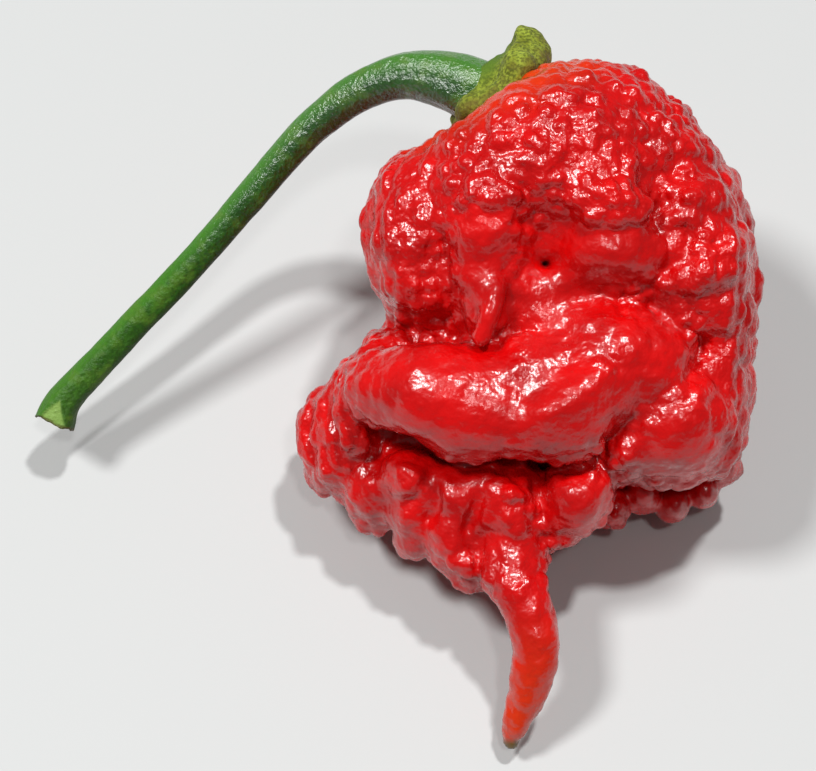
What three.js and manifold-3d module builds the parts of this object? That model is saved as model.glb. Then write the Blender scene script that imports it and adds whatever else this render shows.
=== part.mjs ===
// A very hot, wrinkled chilli pepper, picked and lying on its back.
// The fruit is a lumpy, lobed pod that ends in a thin pointed tail. A green calyx caps its
// shoulder, and a long bent stalk leaves the calyx. Units are millimetres and Z points up.
import * as THREE from 'three';
import { mergeVertices } from 'three/addons/utils/BufferGeometryUtils.js';
import Module from 'manifold-3d';

const wasm = await Module();
wasm.setup();

// ---- driving sizes -------------------------------------------------------------------
const podWidth = 40;          // across the widest lobes
const podLength = 43;         // from the calyx seat to the skirt above the tail
const podDepth = 35;          // from the back lobes to the lip in front
const podLean = 30;           // degrees the calyx end is raised as the pod lies on its back
const lobeBlend = 0.75;       // how softly one lobe runs into the next
const wrinkleHeight = 0.42;   // height of the lumps on the skin
const wrinkleSpacing = 3.6;   // distance from one lump to the next

const tailLength = 18;        // from the skirt to the tip
const tailThickness = 4.0;    // across the middle of the tail

const calyxWidth = 11.4;      // across the cap
const calyxThickness = 2.6;   // cap on the pod's shoulder
const calyxTeeth = 5;         // short points round the rim

const stemLength = 47;        // measured along its bend
const stemThickness = 2.8;    // in its middle
const stemRidges = 5;         // raised lines along the stalk
const stemCutWidth = 3.9;     // across the flared cut end
const notchDepth = 0.9;       // of the torn notch in the cut end

const restDepth = 0.7;        // skin pressed flat where the pod rests
const seatGap = 0.3;          // clearance between one piece and the next

// The points and lobes below are placed on a pepper of this size, then scaled to the
// sizes above.
const drawnWidth = 40;
const drawnLength = 43;
const drawnDepth = 35;
const drawnTail = 18;
const drawnCalyx = 11.4;
const drawnStem = 47;

// ---- helpers -------------------------------------------------------------------------
function toSolid(geometry) {
  const plain = geometry.clone();
  plain.deleteAttribute('normal');
  plain.deleteAttribute('uv');
  const merged = mergeVertices(plain, 1e-4);
  return new wasm.Manifold(new wasm.Mesh({
    numProp: 3,
    vertProperties: new Float32Array(merged.attributes.position.array),
    triVerts: new Uint32Array(merged.index.array),
  }));
}

function toGeometry(solid) {
  const mesh = solid.getMesh();
  const geometry = new THREE.BufferGeometry();
  geometry.setAttribute('position', new THREE.BufferAttribute(mesh.vertProperties, 3));
  geometry.setIndex(new THREE.BufferAttribute(mesh.triVerts, 1));
  geometry.computeVertexNormals();
  return geometry;
}

function namedPiece(name, solid, finish) {
  const piece = new THREE.Mesh(toGeometry(solid), new THREE.MeshStandardMaterial(finish));
  piece.name = name;
  return piece;
}

// A closed round rod that follows a curve. The radius comes from a function of the
// fraction along the rod and of the angle round it.
function bentRod(curve, radiusAt, around, along) {
  const rod = new THREE.CylinderGeometry(1, 1, 1, around, along);
  const frames = curve.computeFrenetFrames(along, false);
  const place = rod.attributes.position;
  const point = new THREE.Vector3();
  for (let i = 0; i < place.count; i += 1) {
    const fraction = Math.min(1, Math.max(0, 0.5 - place.getY(i)));
    const ring = Math.round(fraction * along);
    const angle = Math.atan2(place.getZ(i), place.getX(i));
    const reach = Math.hypot(place.getX(i), place.getZ(i)) * radiusAt(fraction, angle);
    point.copy(curve.getPointAt(fraction));
    point.addScaledVector(frames.normals[ring], reach * Math.cos(angle));
    point.addScaledVector(frames.binormals[ring], reach * Math.sin(angle));
    place.setXYZ(i, point.x, point.y, point.z);
  }
  const solid = toSolid(rod);
  if (solid.volume() > 0) return solid;
  rod.index.array.reverse();
  return toSolid(rod);
}

// Reads a value off a list of [fraction, value] pairs, eased between neighbours.
function along(stops, fraction) {
  let last = stops[0];
  for (const stop of stops) {
    if (fraction <= stop[0]) {
      const span = Math.max(stop[0] - last[0], 1e-9);
      const eased = THREE.MathUtils.smoothstep((fraction - last[0]) / span, 0, 1);
      return THREE.MathUtils.lerp(last[1], stop[1], eased);
    }
    last = stop;
  }
  return last[1];
}

// ---- the pod's lobes -----------------------------------------------------------------
// The pod grows as four masses that press against each other: the crown, the flank at its
// right, the lip across its front and the skirt below. Each lobe is an ellipsoid: its centre, its three half
// sizes and its turn in degrees. The first number runs across the pod, the second along
// it towards the calyx and the third out of its front.
const crown = {
  heart: [1.0, 2.0, -3.0],
  facets: 13,
  lobes: [
    // the body behind everything
    { at: [2.5, 3.5, -4.0], half: [14.0, 13.5, 12.5], turn: 0 },
    { at: [-0.5, -7.0, -4.0], half: [13.5, 8.5, 10.5], turn: 0 },
    // forehead under the calyx
    { at: [2.5, 10.9, 1.5], half: [11.0, 8.6, 11.0], turn: -14 },
    { at: [-2.8, 10.0, 4.0], half: [5.3, 5.3, 6.5], turn: 0 },
    { at: [6.6, 14.4, 0.5], half: [6.2, 6.1, 8.0], turn: 0 },
    // left shoulder and left cheek
    { at: [-9.6, 5.5, 0.0], half: [4.6, 7.6, 8.5], turn: 2 },
    { at: [-9.0, 0.5, 2.0], half: [3.6, 3.4, 5.0], turn: 20 },
    { at: [-4.6, 4.5, 6.5], half: [3.6, 4.4, 5.0], turn: 0 },
    // nose ridge and right cheek
    { at: [-3.8, -0.6, 8.6], half: [1.4, 3.6, 2.8], turn: -22 },
    { at: [6.0, 4.8, 6.5], half: [4.6, 4.0, 5.0], turn: 0 },
    // lobes the pod rests on
    { at: [-10.5, -8.5, -9.7], half: [6.0, 6.0, 5.5], turn: 0 },
    { at: [9.5, -8.0, -10.0], half: [6.0, 6.0, 5.5], turn: 0 },
    { at: [-1.0, 3.4, -14.1], half: [9.5, 8.2, 7.5], turn: 0 },
  ],
  hollows: [
    { at: [1.5, 0.2, 13.0], half: [8.0, 2.6, 5.2], turn: -4 },
    { at: [-15.5, 0.5, 2.0], half: [2.0, 1.2, 8.0], turn: 30 },
  ],
};

const flank = {
  heart: [11.5, -2.0, -2.0],
  facets: 10,
  lobes: [
    { at: [11.5, 1.0, -3.0], half: [6.0, 11.0, 8.0], turn: 0 },
    { at: [11.0, 13.8, 0.5], half: [4.0, 4.2, 7.5], turn: 30 },
    { at: [13.3, 9.0, 0.5], half: [4.6, 4.6, 8.5], turn: 20 },
    { at: [14.5, 1.8, 0.0], half: [5.3, 5.6, 9.5], turn: -8 },
    { at: [15.6, -5.5, -1.5], half: [3.6, 4.0, 7.5], turn: 0 },
    { at: [12.7, -10.2, 0.0], half: [6.0, 6.4, 9.5], turn: -14 },
    // low lobes at the back, near the surface
    { at: [7.8, -17.4, -4.5], half: [2.0, 2.5, 4.0], turn: 0 },
    { at: [10.8, -16.4, -5.5], half: [2.6, 2.6, 4.5], turn: 0 },
    { at: [14.0, -16.8, -6.0], half: [2.6, 2.4, 4.5], turn: 0 },
    { at: [16.6, -14.6, -6.0], half: [2.5, 2.4, 4.5], turn: 30 },
  ],
  hollows: [
    { at: [13.8, -3.8, 9.5], half: [1.2, 2.4, 3.4], turn: 40 },
  ],
};

const lip = {
  heart: [-1.0, -7.8, 5.0],
  facets: 8,
  lobes: [
    { at: [-10.2, -7.6, 4.6], half: [4.4, 3.5, 6.0], turn: 8 },
    { at: [-5.0, -9.0, 6.6], half: [6.0, 4.4, 6.0], turn: -14 },
    { at: [2.5, -9.2, 7.2], half: [6.5, 4.6, 5.6], turn: 14 },
    { at: [8.0, -5.6, 5.8], half: [5.0, 4.6, 5.6], turn: 38 },
    { at: [0.0, -5.6, 6.4], half: [9.0, 2.6, 4.6], turn: 4 },
  ],
  hollows: [
    { at: [1.0, -8.2, 14.4], half: [5.0, 1.0, 2.2], turn: 24 },
  ],
};

const skirt = {
  heart: [-6.5, -14.0, 0.0],
  facets: 10,
  lobes: [
    { at: [-7.0, -14.0, -1.0], half: [9.0, 6.0, 5.5], turn: 0 },
    { at: [-16.0, -11.0, -1.0], half: [4.3, 5.2, 6.0], turn: 12 },
    { at: [-15.2, -6.8, -1.5], half: [2.6, 3.0, 5.0], turn: 0 },
    { at: [-12.3, -3.8, -1.0], half: [2.6, 2.2, 5.0], turn: 0 },
    { at: [-16.4, -14.4, -1.0], half: [2.6, 2.3, 4.0], turn: 0 },
    { at: [-12.4, -16.4, 0.5], half: [3.6, 3.8, 5.0], turn: 0 },
    { at: [-8.4, -18.0, 3.3], half: [3.8, 5.2, 4.6], turn: 8 },
    { at: [-5.2, -21.2, 3.6], half: [3.0, 3.9, 4.0], turn: 0 },
    { at: [-1.8, -18.4, 4.8], half: [3.0, 2.8, 3.6], turn: 0 },
    { at: [3.4, -17.3, 3.4], half: [3.7, 4.0, 4.8], turn: 0 },
    { at: [-0.8, -21.0, 3.8], half: [2.8, 3.0, 3.2], turn: 0 },
  ],
  hollows: [
    { at: [-14.0, -12.5, 6.0], half: [0.9, 3.5, 3.0], turn: -20 },
    { at: [-10.6, -19.8, 5.0], half: [0.7, 3.0, 3.0], turn: 10 },
  ],
};

function scaledLobe(lobe) {
  const scale = [podWidth / drawnWidth, podLength / drawnLength, podDepth / drawnDepth];
  const angle = THREE.MathUtils.degToRad(lobe.turn);
  return {
    centre: lobe.at.map((value, i) => value * scale[i]),
    half: lobe.half.map((value, i) => value * scale[i]),
    cos: Math.cos(angle),
    sin: Math.sin(angle),
  };
}

// Rough distance from a point to an ellipsoid, below zero inside it.
function lobeDistance(lobe, x, y, z) {
  const dx = x - lobe.centre[0];
  const dy = y - lobe.centre[1];
  const a = (dx * lobe.cos + dy * lobe.sin) / lobe.half[0];
  const b = (dy * lobe.cos - dx * lobe.sin) / lobe.half[1];
  const c = (z - lobe.centre[2]) / lobe.half[2];
  const near = Math.hypot(a, b, c);
  const slope = Math.hypot(a / lobe.half[0], b / lobe.half[1], c / lobe.half[2]);
  return near * (near - 1) / Math.max(slope, 1e-6);
}

// A steady number from 0 to 1 for each corner of a grid, used to scatter the lumps.
function scatter(i, j, k, salt) {
  const value = Math.sin(i * 127.1 + j * 311.7 + k * 74.7 + salt * 53.3) * 43758.5453;
  return value - Math.floor(value);
}

// Rounded lumps of skin with creases between them.
function wrinkle(x, y, z) {
  const cell = [x, y, z].map((value) => Math.floor(value / wrinkleSpacing));
  let nearest = 9;
  for (let i = cell[0] - 1; i <= cell[0] + 1; i += 1) {
    for (let j = cell[1] - 1; j <= cell[1] + 1; j += 1) {
      for (let k = cell[2] - 1; k <= cell[2] + 1; k += 1) {
        const dx = x / wrinkleSpacing - i - scatter(i, j, k, 1);
        const dy = y / wrinkleSpacing - j - scatter(i, j, k, 2);
        const dz = z / wrinkleSpacing - k - scatter(i, j, k, 3);
        nearest = Math.min(nearest, dx * dx + dy * dy + dz * dz);
      }
    }
  }
  return wrinkleHeight * (1 - 2 * Math.min(1, nearest));
}

function skinDistance(lobes, hollows, x, y, z) {
  let sum = 1e-12;
  for (const lobe of lobes) {
    sum += Math.exp(Math.min(60, -lobeDistance(lobe, x, y, z) / lobeBlend));
  }
  let gap = -lobeBlend * Math.log(sum);
  if (Math.abs(gap) < 3) gap -= wrinkle(x, y, z);
  for (const hollow of hollows) {
    const inside = -lobeDistance(hollow, x, y, z);
    const high = Math.max(gap, inside);
    const folded = Math.exp((gap - high) / lobeBlend) + Math.exp((inside - high) / lobeBlend);
    gap = high + lobeBlend * Math.log(folded);
  }
  return gap;
}

// ---- the pod -------------------------------------------------------------------------
// A faceted ball is drawn out along its own rays until it meets the skin of one mass. A
// clearance above zero gives a slightly bigger mass, used to cut the calyx to fit.
function podMass(mass, clearance) {
  const ball = new THREE.IcosahedronGeometry(1, mass.facets);
  const place = ball.attributes.position;
  const lobes = mass.lobes.map(scaledLobe);
  const hollows = mass.hollows.map(scaledLobe);
  const heart = scaledLobe({ at: mass.heart, half: [1, 1, 1], turn: 0 }).centre;
  const ray = new THREE.Vector3();
  const seen = new Map();
  const gapAt = (reach) => skinDistance(
    lobes, hollows, heart[0] + ray.x * reach, heart[1] + ray.y * reach, heart[2] + ray.z * reach) - clearance;
  for (let i = 0; i < place.count; i += 1) {
    ray.fromBufferAttribute(place, i).normalize();
    const key = [ray.x, ray.y, ray.z].map((value) => value.toFixed(5)).join();
    if (!seen.has(key)) {
      let outer = podLength;
      while (outer > 1 && gapAt(outer) > 0) outer -= Math.max(0.25, 0.4 * Math.min(gapAt(outer), 5));
      let inner = outer;
      outer += 2;
      for (let halving = 0; halving < 14; halving += 1) {
        const middle = (inner + outer) / 2;
        if (gapAt(middle) > 0) outer = middle;
        else inner = middle;
      }
      seen.set(key, [0, 1, 2].map((axis) => heart[axis] + ray.getComponent(axis) * inner));
    }
    place.setXYZ(i, ...seen.get(key));
  }
  return toSolid(ball);
}

// The tail runs down from under the lip and curls to a fine point.
function podTail() {
  const across = podWidth / drawnWidth;
  const down = podLength / drawnLength;
  const out = podDepth / drawnDepth;
  const step = tailLength / drawnTail;
  const root = new THREE.Vector3(-1.5 * across, -20.7 * down, 3.6 * out);
  const offsets = [
    [-0.3, 4.5, -3.0], [-0.2, 0, 0], [0.1, -3.4, 2.2], [1.2, -6.4, 3.3], [2.1, -9.2, 3.6],
    [1.6, -12.2, 3.3], [0.7, -15.0, 2.8], [-0.3, -17.4, 2.3],
  ];
  const points = offsets.map(([x, y, z]) => new THREE.Vector3(x, y, z).multiplyScalar(step).add(root));
  const stops = [[0, 1.6], [0.3, 1.45], [0.45, 1.0], [0.6, 0.93], [0.8, 0.86], [0.93, 0.62], [1, 0.16]];
  const radius = (fraction, angle) => {
    const ridge = 1 + 0.05 * Math.cos(3 * angle);
    return tailThickness / 2 * along(stops, fraction) * ridge;
  };
  return bentRod(new THREE.CatmullRomCurve3(points), radius, 20, 30);
}

// ---- the calyx -----------------------------------------------------------------------
// A thick cap with short blunt teeth. It is turned about its own axis, then laid on the
// shoulder of the pod, and hollowed by the pod and by the foot of the stem.
const calyxSeat = new THREE.Vector3(-2.4 * podWidth / drawnWidth, 17.9 * podLength / drawnLength, 0.0);
const calyxAxis = new THREE.Vector3(-0.6, 0.8, 0.0).normalize();

function calyxCap() {
  const rim = calyxWidth / 2;
  const cap = calyxWidth / drawnCalyx;
  const profile = [
    [0, -3.2 * cap], [rim * 0.55, -3.0 * cap], [rim * 0.92, -1.8 * cap], [rim * 1.04, -0.7 * cap],
    [rim * 1.02, calyxThickness * 0.2], [rim * 0.86, calyxThickness * 0.5],
    [rim * 0.62, calyxThickness * 0.85], [rim * 0.45, calyxThickness * 1.35], [0, calyxThickness * 1.5],
  ];
  const outline = new THREE.SplineCurve(profile.map(([x, y]) => new THREE.Vector2(x, y))).getPoints(20);
  outline[0].x = 0;
  outline[outline.length - 1].x = 0;
  const body = new THREE.LatheGeometry(outline.map((p) => new THREE.Vector2(Math.max(0, p.x), p.y)), 50);
  const place = body.attributes.position;
  for (let i = 0; i < place.count; i += 1) {
    const x = place.getX(i);
    const z = place.getZ(i);
    const angle = Math.atan2(z, x);
    const edge = Math.min(1, Math.hypot(x, z) / rim) ** 3;
    const tooth = 1 + 0.09 * edge * Math.cos(calyxTeeth * angle);
    const lift = cap * edge * (0.55 * Math.cos(calyxTeeth * angle) + 1.5 * Math.max(0, x / rim));
    place.setXYZ(i, x * tooth, place.getY(i) + lift, z * tooth);
  }
  const upright = new THREE.Quaternion().setFromUnitVectors(new THREE.Vector3(0, 1, 0), calyxAxis);
  body.applyQuaternion(upright);
  body.translate(calyxSeat.x, calyxSeat.y, calyxSeat.z);
  const solid = toSolid(body);
  if (solid.volume() > 0) return solid;
  body.index.array.reverse();
  return toSolid(body);
}

// ---- the stem ------------------------------------------------------------------------
// The stalk rises from the calyx, bends over and runs down towards the surface.
function stemLine(clearance) {
  const reach = stemLength / drawnStem;
  const offsets = [
    [1.6, -0.9, 0], [-1.6, 0.6, 0], [-5.2, 1.9, 0], [-8.6, 1.4, 0],
    [-13.6, -2.2, -0.2], [-18.9, -8.0, -0.9], [-24.2, -14.2, -2.5], [-29.3, -19.8, -4.5],
    [-33.2, -23.6, -6.2], [-34.9, -26.0, -7.2], [-35.4, -28.2, -7.8],
  ];
  const root = new THREE.Vector3(-2.7, -0.2, 0).multiplyScalar(calyxWidth / drawnCalyx).add(calyxSeat);
  const points = offsets.map(([x, y, z]) => new THREE.Vector3(x, y, z).multiplyScalar(reach).add(root));
  if (clearance > 0) {
    const inward = points[0].clone().sub(points[1]).normalize();
    points[0].addScaledVector(inward, clearance);
  }
  return new THREE.CatmullRomCurve3(points);
}

function stemRod(clearance) {
  const cut = stemCutWidth / stemThickness;
  const stops = [
    [0, 1.75], [0.05, 1.7], [0.13, 1.32], [0.25, 1.12], [0.5, 0.97], [0.85, 0.98], [0.95, 1.1], [1, cut],
  ];
  const radius = (fraction, angle) => {
    const ridge = 1 + 0.06 * Math.cos(stemRidges * angle + 2.5 * fraction);
    return stemThickness / 2 * along(stops, fraction) * ridge + clearance;
  };
  return bentRod(stemLine(clearance), radius, 25, 44);
}

// A square bar set cornerwise across the cut end leaves the torn V in it.
function stemNotch() {
  const line = stemLine(0);
  const end = line.getPointAt(1);
  const heading = line.getTangentAt(1);
  const side = notchDepth * Math.SQRT2;
  const bar = new THREE.BoxGeometry(side, side, 3 * stemCutWidth);
  bar.rotateZ(Math.atan2(heading.y, heading.x) + Math.PI / 4);
  bar.translate(end.x, end.y, end.z);
  return toSolid(bar);
}

// ---- putting it together -------------------------------------------------------------
const pod = [crown, flank, lip, skirt].reduce((whole, mass) => whole.add(podMass(mass, 0)), podTail());
const grownPod = podMass(crown, seatGap).add(podMass(flank, seatGap));
const calyx = calyxCap().subtract(grownPod).subtract(stemRod(seatGap));
const stem = stemRod(0).subtract(grownPod).subtract(stemNotch());

function leaned(solid) {
  return solid.rotate([podLean, 0, 0]);
}

const leanedPod = leaned(pod);
const lowest = leanedPod.boundingBox().min[2];
const floorBlock = toSolid(new THREE.BoxGeometry(400, 400, 100).translate(0, 0, lowest + restDepth - 50));
const pieces = [
  namedPiece('pod', leanedPod.subtract(floorBlock), { color: '#c80f0a', roughness: 0.28, metalness: 0 }),
  namedPiece('calyx', leaned(calyx), { color: '#7f9427', roughness: 0.62, metalness: 0 }),
  namedPiece('stem', leaned(stem), { color: '#3f7d24', roughness: 0.45, metalness: 0 }),
];

const group = new THREE.Group();
group.name = 'chilli_pepper';
group.add(...pieces);

// The origin sits on the resting surface, under the middle of the whole pepper.
const box = new THREE.Box3().setFromObject(group, true);
const middle = box.getCenter(new THREE.Vector3());
for (const piece of pieces) {
  piece.geometry.translate(-middle.x, -middle.y, -box.min.z);
}

export default group;
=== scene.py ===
import itertools
import math
import bmesh
import bpy
import numpy as np
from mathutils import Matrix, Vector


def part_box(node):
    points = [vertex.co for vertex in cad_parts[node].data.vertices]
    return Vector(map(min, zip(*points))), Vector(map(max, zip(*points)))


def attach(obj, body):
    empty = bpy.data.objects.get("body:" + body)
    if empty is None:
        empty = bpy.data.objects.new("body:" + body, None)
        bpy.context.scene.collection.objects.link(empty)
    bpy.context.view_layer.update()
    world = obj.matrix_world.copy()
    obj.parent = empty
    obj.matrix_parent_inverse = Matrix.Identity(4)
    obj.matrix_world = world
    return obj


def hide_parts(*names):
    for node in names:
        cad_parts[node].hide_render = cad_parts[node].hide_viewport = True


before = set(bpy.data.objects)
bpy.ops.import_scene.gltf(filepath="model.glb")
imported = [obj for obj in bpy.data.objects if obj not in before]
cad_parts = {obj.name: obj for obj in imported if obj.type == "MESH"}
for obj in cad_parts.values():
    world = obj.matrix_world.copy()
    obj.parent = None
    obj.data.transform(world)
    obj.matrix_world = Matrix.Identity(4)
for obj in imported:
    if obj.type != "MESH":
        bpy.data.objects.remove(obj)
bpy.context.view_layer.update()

import openvdb
from mathutils import Matrix, Vector

print("chilli pepper: packed frame loaded")

# Shapes are worked out in millimetres in the pod's own frame: across to the right, along
# towards the calyx, and out of the pod's front. The pod lies leaning back on its lobes.
layout = {
    "lean": 30.0,  # degrees the calyx end is raised
    "originFromBox": (0.18, 8.53, 0.2),  # pod frame's origin, from the middle of the pod's box
}


def podPlacement():
    low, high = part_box("pod")
    middle = np.array([(a + b) / 2 * 1000 for a, b in zip(low, high)])
    turn = np.array(Matrix.Rotation(math.radians(layout["lean"]), 3, "X"))
    return turn, middle + np.array(layout["originFromBox"])


podTurn, podOrigin = podPlacement()


def toWorld(points):
    return (np.asarray(points, float) @ podTurn.T + podOrigin) / 1000


# large odd numbers that stir a grid cell's place into a value from 0 to 1
stirring = {
    "places": (73856093, 19349663, 83492791),
    "seed": 2654435761,
    "rounds": ((15, 2246822519), (13, 3266489917)),
}
dotMargin = 0.1  # a scattered dot keeps this share of its cell from the cell's sides


def scatterValue(i, j, k, seed):
    forI, forJ, forK = stirring["places"]
    word = np.int64(0xFFFFFFFF)
    mixed = (i * forI) ^ (j * forJ) ^ (k * forK) ^ np.int64(seed * stirring["seed"] % 2**32)
    mixed = mixed & word
    for shift, times in stirring["rounds"]:
        mixed = ((mixed ^ (mixed >> shift)) * times) & word
    return ((mixed ^ (mixed >> 16)) & 0xFFFFFF) / 2**24


# distance to the nearest scattered dot, and that dot's own number
def scatteredDots(points, spacing, seed, stretch=(1, 1, 1)):
    scaled = points / (spacing * np.array(stretch))
    home = np.floor(scaled).astype(np.int64)
    nearest = np.full(len(scaled), 9.0)
    own = np.zeros(len(scaled))
    for step in itertools.product((-1, 0, 1), repeat=3):
        cell = home + step
        gap = 0.0
        for axis in range(3):
            value = scatterValue(cell[:, 0], cell[:, 1], cell[:, 2], seed + axis)
            dot = cell[:, axis] + dotMargin + (1 - 2 * dotMargin) * value
            gap = gap + (scaled[:, axis] - dot) ** 2
        gap = np.sqrt(gap)
        closer = gap < nearest
        own = np.where(closer, scatterValue(cell[:, 0], cell[:, 1], cell[:, 2], seed + 7), own)
        nearest = np.where(closer, gap, nearest)
    return nearest, own


# smooth hills and dips between scattered values, from -1 to 1
def softHills(points, spacing, seed):
    scaled = points / spacing
    home = np.floor(scaled).astype(np.int64)
    within = scaled - home
    within = within * within * (3 - 2 * within)
    total = 0.0
    for step in itertools.product((0, 1), repeat=3):
        share = [within[:, axis] if step[axis] else 1 - within[:, axis] for axis in range(3)]
        cell = home + step
        value = scatterValue(cell[:, 0], cell[:, 1], cell[:, 2], seed)
        total = total + share[0] * share[1] * share[2] * value
    return 2 * total - 1


def easeBetween(value, low, high):
    t = np.clip((value - low) / (high - low), 0, 1)
    return t * t * (3 - 2 * t)


# a smooth curve through the given points
def smoothPath(points, steps):
    stops = np.array([points[0]] + list(points) + [points[-1]], float)
    out = []
    for n in range(1, len(stops) - 2):
        before, start, end, after = stops[n - 1:n + 3]
        for s in range(steps):
            t = s / steps
            square = (2 * before - 5 * start + 4 * end - after) * t**2
            cube = (3 * start - before - 3 * end + after) * t**3
            out.append(0.5 * (2 * start + (end - before) * t + square + cube))
    out.append(stops[-2])
    return np.array(out)


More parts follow.
